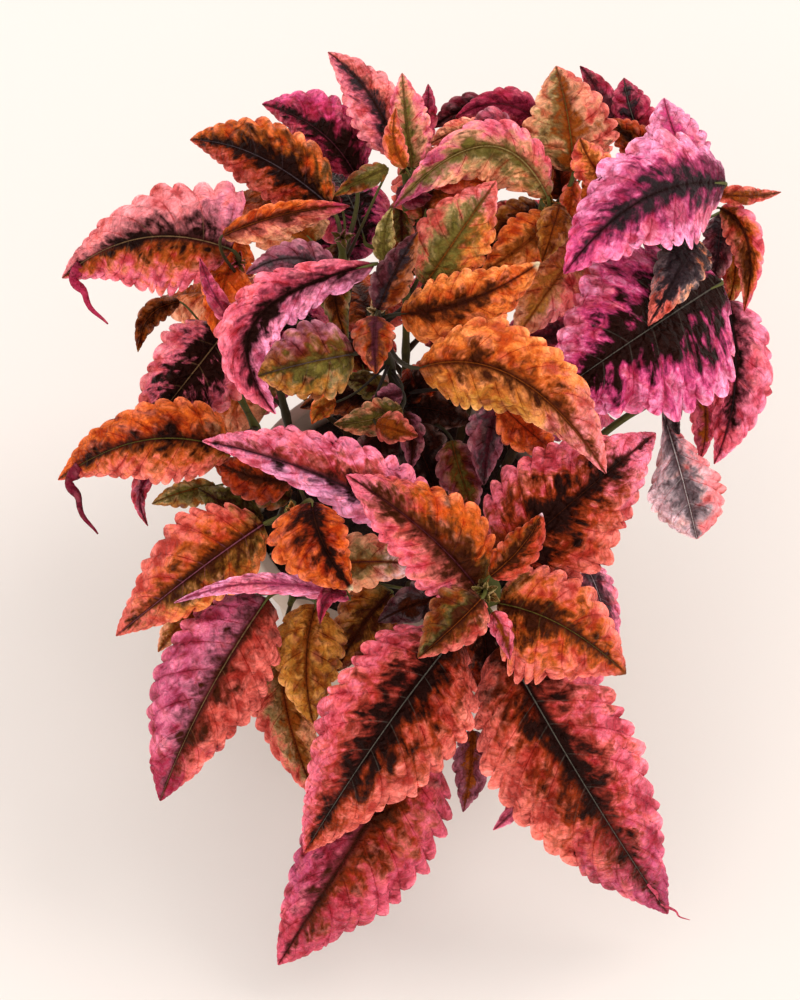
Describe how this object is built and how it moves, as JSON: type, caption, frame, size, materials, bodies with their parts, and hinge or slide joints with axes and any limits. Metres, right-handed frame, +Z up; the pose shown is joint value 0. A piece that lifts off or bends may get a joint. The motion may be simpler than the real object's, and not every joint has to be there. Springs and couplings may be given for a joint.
{
  "type": "potted coleus plant",
  "caption": "Bushy potted foliage plant: leafy stems with toothed pink, coral, orange and black leaves rise from soil in a plain round pot.",
  "frame": {"origin": "centre of the pot's flat base", "axes": "+Z up, -Y towards the side that the crown leans to, +X to the right seen from that side"},
  "size_m": [0.2716, 0.2799, 0.2597],
  "materials": {
    "pot": "matte",
    "soil": "matte",
    "back_leaves": "satin",
    "back_left_leaves": "satin",
    "back_right_leaves": "satin",
    "right_leaves": "satin",
    "right_low_leaves": "satin",
    "left_leaves": "satin",
    "left_low_leaves": "satin",
    "heart_leaves": "satin",
    "front_left_leaves": "satin",
    "front_left_low_leaves": "satin",
    "front_leaves": "satin",
    "front_low_leaves": "satin"
  },
  "bodies": {
    "root": {"pot": "pot", "soil": "soil", "back_stem": "back_leaves", "back_left_stem": "back_left_leaves", "back_right_stem": "back_right_leaves", "right_stem": "right_leaves", "right_low_stem": "right_low_leaves", "left_stem": "left_leaves", "left_low_stem": "left_low_leaves", "heart_stem": "heart_leaves", "front_left_stem": "front_left_leaves", "front_left_low_stem": "front_left_low_leaves", "front_stem": "front_leaves", "front_low_stem": "front_low_leaves"}
  },
  "joints": []
}
